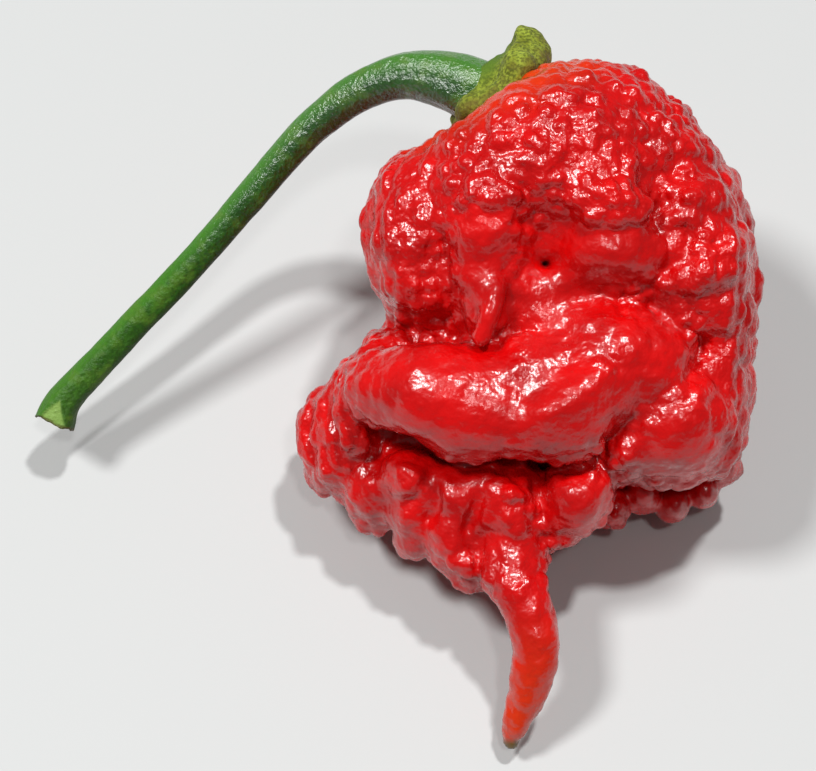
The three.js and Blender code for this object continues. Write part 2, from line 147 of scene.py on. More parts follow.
# Masses make the pod, each joined softly to those before it. Lobes: centre, half sizes and
# turn in degrees. Folds: points along them, each with its thickness from the middle. Hollows
# are pressed in and given like lobes, grooves are pressed in and given like folds.
podFlesh = {
    "cell": 0.295,  # spacing of the grid the shape is worked out on
    "low": (-22.0, -40.0, -23.0), "high": (22.5, 23.0, 16.0),
    "massMargin": 8, "pressMargin": 6,  # how far round it each is worked out, in blends
    "powerLimits": (-40, 60), "keptGap": 3.0,  # limits of a blend's power, and of the distance to the skin
    "foldSteps": 4, "smoothRounds": 3, "smoothAmount": 0.5,
    "masses": {
        "crown": {
            "blend": 0.75, "join": 0.4,
            "lobes": [
                ((2.5, 3.5, -4.0), (14.0, 13.5, 12.5), 0), ((-0.5, -7.0, -4.0), (13.5, 8.5, 10.5), 0),
                # dome below the calyx
                ((2.2, 11.6, 1.6), (11.4, 8.4, 10.2), -12), ((-3.0, 10.6, 4.2), (5.4, 4.6, 6.6), 0),
                ((6.4, 14.2, 0.5), (5.9, 5.9, 8.0), 0), ((-7.6, 10.5, 0.5), (4.8, 3.4, 7.0), 20),
                # left shoulder
                ((-9.5, 5.2, -0.5), (3.9, 7.2, 8.0), 2), ((-9.0, 1.0, 1.2), (3.1, 3.0, 5.0), 20),
                # bulges either side of the hollow
                ((-3.8, 5.6, 6.0), (4.0, 3.4, 5.5), 0), ((-4.6, 2.6, 5.4), (3.0, 3.2, 4.8), 0),
                ((6.2, 3.9, 6.0), (4.6, 3.2, 5.5), 0), ((8.6, 3.2, 5.0), (3.0, 3.2, 5.0), 0),
                ((1.5, 0.2, 2.4), (8.0, 5.5, 6.8), 0), ((-3.9, -0.4, 5.4), (1.9, 3.4, 4.6), 10),
                # lobes it rests on
                ((-10.5, -8.5, -9.7), (6.0, 6.0, 5.5), 0), ((9.5, -8.0, -10.0), (6.0, 6.0, 5.5), 0),
                ((-1.0, 3.4, -14.1), (9.5, 8.2, 7.5), 0),
            ],
            "folds": [
                # ledges over the hollow
                [(-6.6, 8.3, 9.4, 0.7), (-5.0, 8.6, 10.6, 0.9), (-3.2, 8.3, 11.2, 0.8),
                 (-2.2, 7.4, 11.2, 0.7)],
                [(4.6, 8.0, 11.2, 0.8), (6.4, 8.4, 11.2, 1.0), (8.2, 7.9, 10.4, 0.8)],
                [(5.0, 6.9, 11.3, 0.6), (6.8, 6.8, 11.2, 0.7), (8.2, 6.6, 10.6, 0.5)],
                # ridge down the middle
                [(-3.0, 0.6, 10.3, 0.35), (-3.3, -0.6, 10.8, 0.5), (-3.8, -2.0, 10.8, 0.58),
                 (-4.4, -3.4, 10.2, 0.6)],
                # ruffles down the left shoulder
                [(-12.3, 9.2, 2.4, 0.6), (-13.2, 6.6, 3.0, 0.8), (-13.2, 3.6, 3.0, 0.8),
                 (-12.0, 1.2, 2.6, 0.6)],
                [(-11.2, 10.0, 4.0, 0.6), (-12.0, 7.2, 5.6, 0.75), (-12.0, 4.0, 5.8, 0.75),
                 (-11.0, 1.2, 5.0, 0.6)],
                [(-10.2, 9.6, 6.2, 0.5), (-10.9, 6.8, 7.0, 0.7), (-11.0, 3.8, 7.0, 0.7),
                 (-10.2, 0.6, 6.4, 0.55)],
                [(-8.9, 8.8, 7.2, 0.5), (-9.4, 6.0, 7.6, 0.65), (-9.5, 3.4, 7.4, 0.65),
                 (-8.8, 0.2, 6.6, 0.5)],
                [(-7.7, 6.4, 7.8, 0.45), (-8.0, 3.8, 7.8, 0.6), (-7.6, 1.0, 7.2, 0.5)],
            ],
            "hollows": [
                ((0.8, 3.4, 13.4), (1.5, 3.0, 3.9), 0), ((4.8, -0.1, 13.0), (5.6, 1.5, 4.7), -3),
                ((1.1, 2.8, 8.6), (0.45, 0.3, 2.5), -12),
                # seat of the calyx
                ((-3.8, 21.1, 0.0), (11.0, 4.3, 12.0), 37), ((-8.0, 17.0, 0.0), (4.5, 3.1, 12.0), 24),
            ],
            "grooves": [
                [(-7.7, 4.6, 8.9, 0.3), (-7.5, 2.6, 8.7, 0.4), (-6.9, 0.6, 8.6, 0.4)],
            ],
        },
        "flank": {
            "blend": 0.65, "join": 0.5,
            "lobes": [
                ((11.5, 1.0, -3.0), (6.0, 11.0, 8.0), 0), ((11.0, 13.2, 0.0), (3.8, 4.2, 7.5), 30),
                ((13.2, 8.2, 1.4), (4.0, 4.0, 7.4), 24), ((14.6, 3.4, 1.2), (4.4, 4.4, 8.2), 0),
                ((14.9, -1.4, 0.4), (4.1, 3.4, 7.6), 0), ((12.2, 0.0, 3.4), (2.8, 4.0, 4.9), 0),
                ((15.4, -5.5, -1.0), (3.6, 4.2, 8.0), 0), ((12.0, -10.3, 0.8), (6.2, 5.7, 9.2), -14),
                ((8.2, -12.6, 2.2), (3.2, 2.9, 6.2), 0), ((15.7, 9.4, -3.0), (2.5, 5.3, 6.0), 28),
            ],
            "folds": [
                # swellings that slant outwards
                [(10.4, 12.8, 6.8, 0.6), (12.2, 12.2, 6.8, 0.9), (14.6, 12.2, 4.8, 0.8)],
                [(11.2, 5.6, 8.0, 0.8), (12.6, 7.2, 8.2, 1.2), (14.4, 7.8, 7.2, 1.1),
                 (15.8, 7.0, 5.6, 0.8)],
                [(12.4, 1.0, 8.4, 0.8), (14.2, 2.0, 8.6, 1.4), (16.0, 3.2, 7.0, 1.1)],
                [(13.2, -2.0, 7.4, 0.7), (15.2, -1.2, 7.0, 1.1), (17.2, 0.4, 5.0, 0.8)],
                [(12.4, 4.0, 7.8, 0.8), (14.6, 5.2, 7.4, 1.0), (16.6, 5.4, 5.4, 0.8)],
                # pleats down the outer edge
                [(16.7, -4.2, 3.0, 0.8), (17.4, -7.6, 3.0, 1.0), (17.0, -11.0, 2.6, 1.0),
                 (15.5, -13.8, 2.0, 0.8)],
                [(17.8, -3.6, 0.2, 0.8), (18.0, -7.8, 0.2, 1.0), (17.4, -11.6, -0.2, 1.0),
                 (16.1, -14.2, -0.6, 0.8)],
                [(17.9, -6.0, -2.6, 0.8), (17.8, -10.0, -2.8, 1.0), (17.1, -13.2, -3.2, 0.9)],
                [(18.1, 5.0, 0.0, 0.8), (18.8, 1.6, 0.4, 1.0), (18.3, -1.4, 0.4, 0.8)],
            ],
            "hollows": [((14.0, -3.9, 8.8), (1.3, 1.4, 2.6), 30)],
            "grooves": [],
        },
        # knobs under the right-hand side, near the surface
        "knobs": {
            "blend": 0.3, "join": 0.3,
            "lobes": [
                ((7.6, -18.1, -3.4), (1.35, 1.8, 3.4), 0), ((10.2, -17.0, -4.4), (1.7, 1.8, 4.0), 0),
                ((13.0, -17.9, -5.0), (1.45, 1.7, 4.0), 0), ((15.6, -16.7, -5.2), (1.4, 1.7, 4.0), 20),
                ((17.3, -14.7, -5.0), (1.35, 1.6, 4.0), 35), ((17.6, -12.2, -4.6), (1.1, 1.9, 4.0), 0),
            ],
            "folds": [],
            "hollows": [],
            "grooves": [],
        },
        "lip": {
            "blend": 0.8, "join": 0.32,
            "lobes": [
                ((-6.4, -11.3, 6.2), (2.7, 2.6, 4.2), 0), ((2.8, -10.0, 6.4), (3.3, 3.0, 4.8), 25),
                ((10.4, -6.2, 5.4), (2.3, 4.2, 4.6), -30), ((0.8, -6.6, 5.8), (6.2, 3.8, 5.3), 0),
                ((7.0, -4.5, 6.1), (4.4, 2.9, 4.9), 12), ((5.4, -2.5, 5.2), (4.4, 2.0, 4.4), 0),
            ],
            "folds": [
                # the rolled edge
                [(-12.2, -7.8, 5.6, 3.3), (-8.6, -8.2, 7.9, 4.2), (-4.8, -9.0, 8.3, 4.0),
                 (-1.4, -10.5, 9.3, 2.7), (2.4, -9.6, 8.6, 3.5), (5.2, -7.7, 8.2, 3.3),
                 (8.6, -5.2, 6.9, 2.8)],
                [(0.6, -9.8, 12.3, 0.35), (2.2, -8.9, 12.3, 0.4), (3.9, -7.9, 12.0, 0.4),
                 (5.4, -6.9, 11.4, 0.35)],
            ],
            "hollows": [((-10.8, -13.2, 8.0), (2.6, 1.3, 4.6), -14)],
            "grooves": [],
        },
        "skirt": {
            "blend": 0.38, "join": 0.35,
            "lobes": [
                ((-7.0, -13.2, -3.0), (9.5, 5.6, 5.6), 0), ((-15.2, -11.6, -3.6), (4.3, 4.8, 6.0), 12),
                ((-14.0, -7.2, -2.6), (2.4, 2.4, 5.2), 0), ((-12.1, -4.4, -1.6), (1.8, 1.6, 4.8), 0),
                # knobs along the lower left
                ((-16.6, -14.6, -3.4), (2.6, 2.2, 4.6), 0), ((-13.2, -16.4, -1.4), (2.8, 3.0, 4.8), 8),
                ((-13.2, -18.6, -2.6), (1.8, 1.6, 3.4), 0), ((-10.4, -15.2, 2.8), (2.4, 2.2, 4.0), 0),
                ((-10.0, -18.2, 1.4), (2.1, 2.2, 3.8), 0), ((-7.4, -16.6, 3.6), (2.2, 2.2, 3.4), 0),
                ((-9.9, -20.7, 0.2), (1.6, 1.7, 3.0), 0), ((-7.2, -19.6, 2.4), (2.1, 2.3, 3.4), 0),
                ((-6.8, -22.2, 1.6), (1.6, 1.5, 2.8), 0), ((-5.2, -23.6, 1.6), (1.3, 1.3, 2.2), 0),
                # round the tail
                ((-3.2, -16.8, 3.4), (4.6, 3.6, 4.0), 0), ((3.8, -16.7, 4.0), (2.9, 3.6, 4.6), -12),
                ((5.2, -15.0, 3.2), (2.0, 2.4, 3.6), 0), ((2.2, -19.3, 3.2), (1.9, 1.9, 2.8), 0),
                ((-2.0, -16.6, 6.6), (1.6, 0.8, 1.1), 0), ((-1.6, -19.0, 5.4), (2.0, 1.6, 2.0), 0),
                ((-4.4, -19.0, 4.6), (1.4, 2.0, 2.4), 0), ((-2.6, -22.0, 2.8), (3.0, 2.6, 3.2), 0),
            ],
            "folds": [
                # pleats that wrap the left end of the lip
                [(-11.2, -3.8, 3.0, 0.8), (-13.2, -5.1, 3.4, 1.1), (-14.9, -7.3, 3.4, 1.2),
                 (-15.4, -9.9, 3.4, 1.2), (-14.9, -12.6, 2.8, 1.1)],
                [(-12.4, -3.9, 1.0, 0.7), (-14.6, -5.9, 0.8, 0.9), (-16.3, -8.2, 0.6, 1.0),
                 (-16.9, -10.9, 0.6, 1.0), (-16.2, -14.0, 0.8, 1.0)],
                [(-16.6, -8.0, -1.6, 0.7), (-18.2, -9.9, -2.0, 1.0), (-18.8, -12.3, -2.2, 1.1),
                 (-17.8, -15.2, -2.4, 0.9)],
                [(-7.6, -18.2, 5.0, 0.7), (-7.0, -20.4, 5.2, 0.9), (-5.6, -22.6, 4.8, 0.8)],
                [(-4.6, -15.8, 6.4, 0.5), (-5.6, -18.0, 6.0, 0.6), (-6.2, -20.2, 5.2, 0.6)],
            ],
            "hollows": [
                ((-3.9, -21.2, 7.4), (1.5, 2.0, 2.5), 14), ((-0.2, -14.3, 9.2), (5.4, 1.1, 3.8), -2),
                ((-2.0, -13.7, 8.6), (2.4, 1.2, 3.6), 0),
            ],
            "grooves": [
                [(-8.6, -14.6, 6.6, 0.45), (-8.0, -16.6, 6.4, 0.5), (-8.5, -18.8, 5.4, 0.45)],
                [(-4.9, -15.4, 7.6, 0.4), (-4.5, -17.3, 7.0, 0.5), (-5.3, -19.4, 6.0, 0.45)],
                [(0.4, -15.6, 7.8, 0.4), (0.6, -17.6, 7.6, 0.5), (0.3, -19.6, 6.6, 0.4)],
            ],
        },
        "tail": {
            "blend": 0.4, "join": 0.5,
            "lobes": [],
            "folds": [
                [(-1.6, -18.6, 2.2, 2.4), (-1.6, -21.4, 4.0, 2.7), (-1.3, -23.9, 5.2, 2.45),
                 (-0.4, -26.3, 6.0, 2.08), (0.2, -28.4, 6.2, 1.92), (0.35, -30.2, 6.0, 1.86),
                 (0.1, -31.9, 5.6, 1.74), (-0.3, -33.4, 5.2, 1.56), (-0.8, -35.0, 4.8, 1.32),
                 (-1.25, -36.3, 4.5, 1.02), (-1.55, -37.3, 4.3, 0.64), (-1.65, -37.8, 4.2, 0.32)],
            ],
            "hollows": [],
            "grooves": [],
        },
    },
    # Bumps stand round scattered dots. Reach is half their width in spacings, dip how low it goes
    # between them, least and spread their own heights, and kept the share left on smooth skin.
    "lumps": {
        "spacing": 3.0, "height": 0.38, "seed": 11, "reach": 0.75, "dip": -0.6, "least": 0.5, "spread": 1.0,
        "kept": 0.25,
        # lower on the left shoulder
        "shoulderAcross": (6.5, 9.0), "shoulderAlong": (-4, 0), "shoulderLess": 0.4,
    },
    "pimples": {
        "spacing": 1.45, "height": 0.50, "seed": 31, "reach": 0.62, "dip": -0.25, "least": 0.35,
        "spread": 0.9,
        # drawn out along the pod's two sides
        "middle": 2.5, "sides": (10.5, 14.0), "drawnOut": (0.8, 2.2, 1.0), "drawnShare": 0.7,
        "drawnSeed": 51,
    },
    "grain": {"spacing": 0.75, "height": 0.07, "seed": 71, "kept": 0.4},
    # places where the skin is smoother: centre, reach, how much smoother
    "smoothPlaces": [
        ((-6.0, -9.0, 11.0), 6.0, 0.95), ((2.0, -9.5, 12.5), 5.0, 0.9), ((7.0, -9.0, 10.0), 3.5, 0.7),
        ((3.0, 2.0, 10.5), 5.0, 0.9), ((8.0, 3.5, 10.5), 3.0, 0.8), ((-4.5, 4.0, 11.5), 3.2, 0.8),
        ((12.0, -13.0, 8.5), 4.0, 0.85), ((4.0, -18.0, 8.0), 3.6, 0.85), ((-6.0, -18.0, 6.5), 4.0, 0.6),
        ((-2.6, 16.0, 6.0), 4.4, 0.65), ((9.0, -4.5, 9.5), 4.0, 0.7), ((3.0, -2.8, 10.5), 4.0, 0.6),
        ((-3.8, -0.6, 11.5), 3.4, 0.85), ((13.5, -8.5, 8.0), 4.0, 0.35), ((13.0, -17.5, -4.0), 5.5, 0.8),
        ((-10.5, -7.6, 8.5), 4.5, 0.9), ((-9.0, -17.5, 4.0), 7.0, 0.4), ((0.0, -31.0, 6.0), 7.5, 0.75),
        ((-1.5, -21.0, 7.0), 3.0, 0.5),
    ],
    "smoothFade": (0.55, 1.25),  # where the smoothing starts to fade and where it ends, in reaches
    # where the colours and fine bumps change
    "calyxSeat": (-2.4, 17.9, 0.0), "nearCalyx": (5.5, 12.5),
    "tailEnd": (-37.5, -24.0), "tipMark": (-38.0, -37.3),
    # painted shade: the small pit in the hollow is darkened, centred here, with its width and edge
    "paintedPitShade": (1.1, 2.8), "pitShadeWidth": 1.5, "pitShadeEdge": (0.12, 0.36), "wrinkleKept": 0.35,
    "lowest": 0.00002,  # metres above the floor
}


def lobeGap(points, centre, half, turn):
    cosine, sine = math.cos(math.radians(turn)), math.sin(math.radians(turn))
    offset = points - np.array(centre, np.float32)
    across = (offset[..., 0] * cosine + offset[..., 1] * sine) / half[0]
    along = (offset[..., 1] * cosine - offset[..., 0] * sine) / half[1]
    out = offset[..., 2] / half[2]
    near = np.sqrt(across * across + along * along + out * out)
    slope = np.sqrt((across / half[0]) ** 2 + (along / half[1]) ** 2 + (out / half[2]) ** 2) + 1e-6
    return near * (near - 1) / slope


def foldGap(points, line):
    best = None
    for start, end in zip(line[:-1], line[1:]):
        first, last = start[:3].astype(np.float32), end[:3].astype(np.float32)
        along = last - first
        share = np.clip(((points - first) @ along) / max(float(along @ along), 1e-9), 0, 1)
        away = np.sqrt(((points - first - share[..., None] * along) ** 2).sum(-1))
        gap = away - (start[3] + share * (end[3] - start[3]))
        best = gap if best is None else np.minimum(best, gap)
    return best


class SkinGrid:
    def __init__(self, look):
        self.look = look
        self.low = np.array(look["low"], np.float32)
        self.cell = look["cell"]
        self.count = np.ceil((np.array(look["high"]) - self.low) / self.cell).astype(int) + 1

    def window(self, low, high):
        first = np.clip(np.floor((np.array(low) - self.low) / self.cell).astype(int), 0, self.count)
        last = np.clip(np.ceil((np.array(high) - self.low) / self.cell).astype(int) + 1, 0, self.count)
        part = tuple(slice(i, j) for i, j in zip(first, last))
        lines = []
        for axis in range(3):
            steps = np.arange(first[axis], last[axis], dtype=np.float32)
            lines.append(self.low[axis] + self.cell * steps)
        return part, np.stack(np.meshgrid(*lines, indexing="ij"), -1)

    def lobeWindow(self, lobe, margin):
        centre, half, turn = lobe
        cosine, sine = abs(math.cos(math.radians(turn))), abs(math.sin(math.radians(turn)))
        across, along, out = half
        reach = np.array([across * cosine + along * sine, across * sine + along * cosine, out]) + margin
        return self.window(np.array(centre) - reach, np.array(centre) + reach)

    def foldWindow(self, line, margin):
        reach = line[:, 3].max() + margin
        return self.window(line[:, :3].min(0) - reach, line[:, :3].max(0) + reach)

    # the part of the grid round each lobe and each fold, with the gap to it there
    def gaps(self, lobes, folds, margin):
        for lobe in lobes:
            part, points = self.lobeWindow(lobe, margin)
            yield part, lobeGap(points, *lobe)
        for fold in folds:
            line = smoothPath(fold, self.look["foldSteps"])
            part, points = self.foldWindow(line, margin)
            yield part, foldGap(points, line)

    def mass(self, shape):
        blend = shape["blend"]
        total = np.full(self.count, 1e-12, np.float32)
        for part, gap in self.gaps(shape["lobes"], shape["folds"], self.look["massMargin"] * blend):
            total[part] += np.exp(np.clip(-gap / blend, *self.look["powerLimits"]))
        value = -blend * np.log(total)
        for part, gap in self.gaps(shape["hollows"], shape["grooves"], self.look["pressMargin"] * blend):
            value[part] = blend * np.logaddexp(value[part] / blend, -gap / blend)
        return value


def podSurface():
    grid = SkinGrid(podFlesh)
    value = None
    for shape in podFlesh["masses"].values():
        mass = grid.mass(shape)
        join = shape["join"]
        value = mass if value is None else -join * np.logaddexp(-value / join, -mass / join)
    far = podFlesh["keptGap"]
    volume = openvdb.FloatGrid(far)
    volume.copyFromArray(np.ascontiguousarray(np.clip(value, -far, far), np.float32))
    points, triangles, quads = volume.convertToPolygons(isovalue=0.0, adaptivity=0.0)
    faces = [tuple(int(i) for i in face) for face in itertools.chain(triangles, quads)]
    return points * grid.cell + grid.low, faces


def meshFrom(name, points, faces):
    mesh = bpy.data.meshes.new(name)
    mesh.from_pydata([tuple(p) for p in np.asarray(points, float)], [], faces)
    mesh.update()
    return mesh


def smoothMesh(mesh, rounds, amount):
    bm = bmesh.new()
    bm.from_mesh(mesh)
    axes = {"use_axis_x": True, "use_axis_y": True, "use_axis_z": True}
    for _ in range(rounds):
        bmesh.ops.smooth_vert(bm, verts=bm.verts, factor=amount, **axes)
    bm.to_mesh(mesh)
    bm.free()


def meshPoints(mesh):
    out = np.empty(len(mesh.vertices) * 3)
    mesh.vertices.foreach_get("co", out)
    return out.reshape(-1, 3)


def meshNormals(mesh):
    out = np.empty(len(mesh.vertices) * 3)
    mesh.vertex_normals.foreach_get("vector", out)
    return out.reshape(-1, 3)


def setPoints(mesh, points):
    mesh.vertices.foreach_set("co", np.asarray(points, float).ravel())
    mesh.update()


def turnOut(mesh):
    bm = bmesh.new()
    bm.from_mesh(mesh)
    if bm.calc_volume(signed=True) < 0:
        mesh.flip_normals()
    bm.free()


def linkPiece(name, mesh):
    piece = bpy.data.objects.new(name, mesh)
    bpy.context.scene.collection.objects.link(piece)
    print(name + ":", len(mesh.vertices), "points,", len(mesh.polygons), "faces")
    return piece


def addShade(mesh, name, values):
    layer = mesh.attributes.new(name, "FLOAT", "POINT")
    layer.data.foreach_set("value", np.asarray(values, np.float32))


def roughness(points):
    start, end = podFlesh["smoothFade"]
    left = np.ones(len(points))
    for centre, reach, amount in podFlesh["smoothPlaces"]:
        gap = np.sqrt(((points - np.array(centre)) ** 2).sum(1))
        left *= 1 - amount * (1 - easeBetween(gap, start * reach, end * reach))
    return left


# bumps round scattered dots, each of its own height
def dottedBumps(points, look, seed, stretch=(1, 1, 1)):
    gap, own = scatteredDots(points, look["spacing"], seed, stretch)
    return np.clip(1 - (gap / look["reach"]) ** 2, look["dip"], 1) * (look["least"] + look["spread"] * own)


# how much of a bump is left: all on rough skin, the kept share on smooth skin
def leftOn(rough, kept):
    return kept + (1 - kept) * rough


def lumpySkin(points, rough):
    look = podFlesh["lumps"]
    shoulder = easeBetween(-points[:, 0], *look["shoulderAcross"])
    shoulder = shoulder * easeBetween(points[:, 1], *look["shoulderAlong"])
    lumps = look["height"] * dottedBumps(points, look, look["seed"])
    return lumps * leftOn(rough, look["kept"]) * (1 - look["shoulderLess"] * shoulder)


def pimpledSkin(points, rough):
    look, grain = podFlesh["pimples"], podFlesh["grain"]
    even = dottedBumps(points, look, look["seed"])
    drawnOut = dottedBumps(points, look, look["drawnSeed"], look["drawnOut"])
    sides = easeBetween(np.abs(points[:, 0] - look["middle"]), *look["sides"])
    bumps = even * (1 - look["drawnShare"] * sides) + drawnOut * look["drawnShare"] * sides
    hills = softHills(points, grain["spacing"], grain["seed"])
    fine = grain["height"] * hills * leftOn(rough, grain["kept"])
    return look["height"] * bumps * rough + fine


def shadePod(mesh, points, rough):
    look = podFlesh
    fromCalyx = np.sqrt(((points - np.array(look["calyxSeat"])) ** 2).sum(1))
    # painted shade for the pit, fading out from its centre
    fromPitShade = np.hypot((points[:, 0] - look["paintedPitShade"][0]) / look["pitShadeWidth"], points[:, 1] - look["paintedPitShade"][1])
    addShade(mesh, "nearCalyx", 1 - easeBetween(fromCalyx, *look["nearCalyx"]))
    addShade(mesh, "tailEnd", 1 - easeBetween(points[:, 1], *look["tailEnd"]))
    addShade(mesh, "tipMark", 1 - easeBetween(points[:, 1], *look["tipMark"]))
    addShade(mesh, "paintedPitShade", 1 - easeBetween(fromPitShade, *look["pitShadeEdge"]))
    addShade(mesh, "wrinkled", leftOn(rough, look["wrinkleKept"]))


def buildPod():
    mesh = meshFrom("podSkin", *podSurface())
    smoothMesh(mesh, podFlesh["smoothRounds"], podFlesh["smoothAmount"])
    base = meshPoints(mesh)
    rough = roughness(base)
    lumped = base + meshNormals(mesh) * lumpySkin(base, rough)[:, None]
    setPoints(mesh, lumped)
    height = pimpledSkin(lumped, rough)
    setPoints(mesh, lumped + meshNormals(mesh) * height[:, None])
    final = meshPoints(mesh)
    world = toWorld(final)
    world[:, 2] = np.maximum(world[:, 2], podFlesh["lowest"])
    setPoints(mesh, world)
    turnOut(mesh)
    mesh.shade_smooth()
    shadePod(mesh, final, rough)
    return linkPiece("podFlesh", mesh)


calyxCap = {
    "seat": (-2.3, 17.7, 0.2), "axis": (-0.6, 0.8, 0.0),
    "rim": 4.75, "teeth": 5, "toothOut": 0.07, "toothUp": 0.25, "toothStart": 0.5,
    "sway": 0.35, "swayStart": 1.2,  # a slow rise and fall, twice round the rim
    "raisedSide": 1.9, "raisedOut": 0.22, "raisedPower": 1.6,  # one side of the rim stands up and out
    "around": 260, "profileSteps": 7,
    # from the stem to the underside: radius as a share of the rim, height, share of the teeth,
    # share of the raised side
    "profile": [
        (0.0, 3.3, 0, 0), (0.36, 3.1, 0, 0), (0.52, 2.5, 0, 0.25), (0.68, 1.75, 0.3, 0.7),
        (0.78, 1.45, 0.9, 1.2), (0.90, 1.25, 1, 0.98), (1.0, 0.85, 1, 0.65), (1.05, 0.2, 0.8, 0.35),
        (0.99, -0.3, 0.5, 0.1), (0.7, -1.2, 0.1, 0), (0.0, -2.2, 0, 0),
    ],
    "bumps": ((0.22, 1.6, 91), (0.08, 0.55, 92)),  # height, spacing, seed
    "rimEdge": (0.92, 1.03), "stemSide": (0.45, 0.8),
}


def buildCalyx():
    look = calyxCap
    up = np.array(look["axis"]) / np.linalg.norm(look["axis"])
    side = np.array((up[1], -up[0], 0.0))
    front = np.array((0.0, 0.0, 1.0))
    profile = smoothPath(look["profile"], look["profileSteps"])
    angles = np.linspace(0, 2 * math.pi, look["around"], endpoint=False)
    wave = np.cos(look["teeth"] * angles + look["toothStart"])
    wave = wave + look["sway"] * np.cos(2 * angles + look["swayStart"])
    raised = np.maximum(0, np.cos(angles)) ** look["raisedPower"]
    rings = []
    for share, height, tooth, lift in profile:
        spread = 1 + look["toothOut"] * tooth * wave + look["raisedOut"] * tooth * raised
        radius = look["rim"] * share * spread
        rise = height + look["toothUp"] * tooth * wave + look["raisedSide"] * lift * raised
        rings.append(np.outer(radius * np.cos(angles), side) + np.outer(radius * np.sin(angles), front)
                     + np.outer(rise, up) + np.array(look["seat"]))
    points = np.concatenate([rings[0][:1]] + rings[1:-1] + [rings[-1][:1]])
    n, inner = look["around"], len(profile) - 2
    faces = [(0, 1 + i, 1 + (i + 1) % n) for i in range(n)]
    for r in range(inner - 1):
        for i in range(n):
            a, b = 1 + r * n + i, 1 + r * n + (i + 1) % n
            faces.append((a, a + n, b + n, b))
    last = 1 + (inner - 1) * n
    faces += [(last + i, len(points) - 1, last + (i + 1) % n) for i in range(n)]
    mesh = meshFrom("calyxCap", points, faces)
    bumps = sum(height * softHills(points, spacing, seed) for height, spacing, seed in look["bumps"])
    setPoints(mesh, toWorld(points + meshNormals(mesh) * bumps[:, None]))
    turnOut(mesh)
    mesh.shade_smooth()
    edge = easeBetween(profile[1:-1, 0], *look["rimEdge"])
    foot = 1 - easeBetween(profile[1:-1, 0], *look["stemSide"])
    addShade(mesh, "rimEdge", np.concatenate([[0], np.repeat(edge, n), [0]]))
    addShade(mesh, "stemSide", np.concatenate([[1], np.repeat(foot, n), [0]]))
    return linkPiece("calyxVelvet", mesh)


stemRod = {
    # along its middle: place, then half its thickness
    "line": [
        (-2.8, 17.0, 0.2, 2.7), (-4.9, 18.3, 0.0, 2.75), (-7.2, 19.2, -0.5, 2.5), (-9.9, 19.7, -1.1, 2.12),
        (-12.3, 19.4, -1.8, 1.88), (-15.0, 18.3, -2.7, 1.70), (-17.6, 16.5, -3.6, 1.58),
        (-20.2, 14.2, -4.4, 1.48), (-25.3, 8.4, -5.6, 1.38), (-30.5, 2.6, -6.4, 1.34),
        (-35.7, -2.8, -6.8, 1.36), (-39.3, -6.6, -6.9, 1.42), (-41.3, -8.8, -6.9, 1.56),
        (-42.1, -10.7, -7.0, 1.84),
    ],
    "around": 72, "steps": 26, "twist": 1.1,
    "ridges": 5, "ridgeHeight": 0.03,
    "fineRidges": 11, "fineHeight": 0.007, "fineTwist": 0.8, "fineStart": 1.0,
    # rings that close the cut end: share of its radius, and how far they stand out
    "closing": [(0.93, 0.05), (0.8, -0.12), (0.6, -0.25), (0.4, -0.3), (0.2, -0.32)],
    "cutShade": 0.2,  # the shade along the stem goes past 1 by this to the middle of the cut
    "tearLength": 2.2, "tearWidth": 0.85, "tearDepth": 0.35, "tearSide": 1.85, "tearEdge": (-0.05, 0.12),
    # height, spacing, seed
    "ragged": (0.3, 0.45, 17), "swells": ((0.05, 2.4, 23), (0.02, 0.6, 29)),
    "raggedFrom": (0.55, 1.0),
    # the last angle sets where round the stem the painted light is brightest
    "cutFace": (1.0, 1.04), "cutRimStart": (0.985, 0.998), "cutRimEnd": (1.02, 1.07), "paintedLightAngle": 0.5,
}


# directions along the stem, across it and up, carried on from ring to ring without a twist
def stemDirections(line):
    heading = np.gradient(line[:, :3], axis=0)
    heading /= np.linalg.norm(heading, axis=1)[:, None]
    across = np.zeros_like(heading)
    across[0] = np.cross(heading[0], (0, 0, 1))
    for i in range(1, len(line)):
        carried = across[i - 1] - heading[i] * (across[i - 1] @ heading[i])
        across[i] = carried / np.linalg.norm(carried)
    across[0] /= np.linalg.norm(across[0])
    return heading, across, np.cross(across, heading)


def stemRings(line, heading, across, upward, angles):
    look = stemRod
    share = np.linspace(0, 1, len(line))
    points, shade = [], []
    for i, (x, y, z, thick) in enumerate(line):
        twist = look["twist"] * share[i]
        ridge = look["ridgeHeight"] * np.cos(look["ridges"] * (angles + twist))
        fineTurn = look["fineRidges"] * (angles + look["fineTwist"] * twist) + look["fineStart"]
        reach = thick * (1 + ridge + look["fineHeight"] * np.cos(fineTurn))
        points.append(line[i, :3] + np.outer(reach * np.cos(angles), across[i])
                      + np.outer(reach * np.sin(angles), upward[i]))
        shade.append(np.full(len(angles), share[i]))
    end, tip = line[-1], heading[-1]
    ridge = look["ridgeHeight"] * np.cos(look["ridges"] * (angles + look["twist"]))
    for radius, out in look["closing"]:
        reach = end[3] * radius * (1 + ridge)
        points.append(end[:3] + tip * out + np.outer(reach * np.cos(angles), across[-1])
                      + np.outer(reach * np.sin(angles), upward[-1]))
        shade.append(np.full(len(angles), 1.0 + look["cutShade"] * (1 - radius)))
    return np.concatenate(points), np.concatenate(shade)


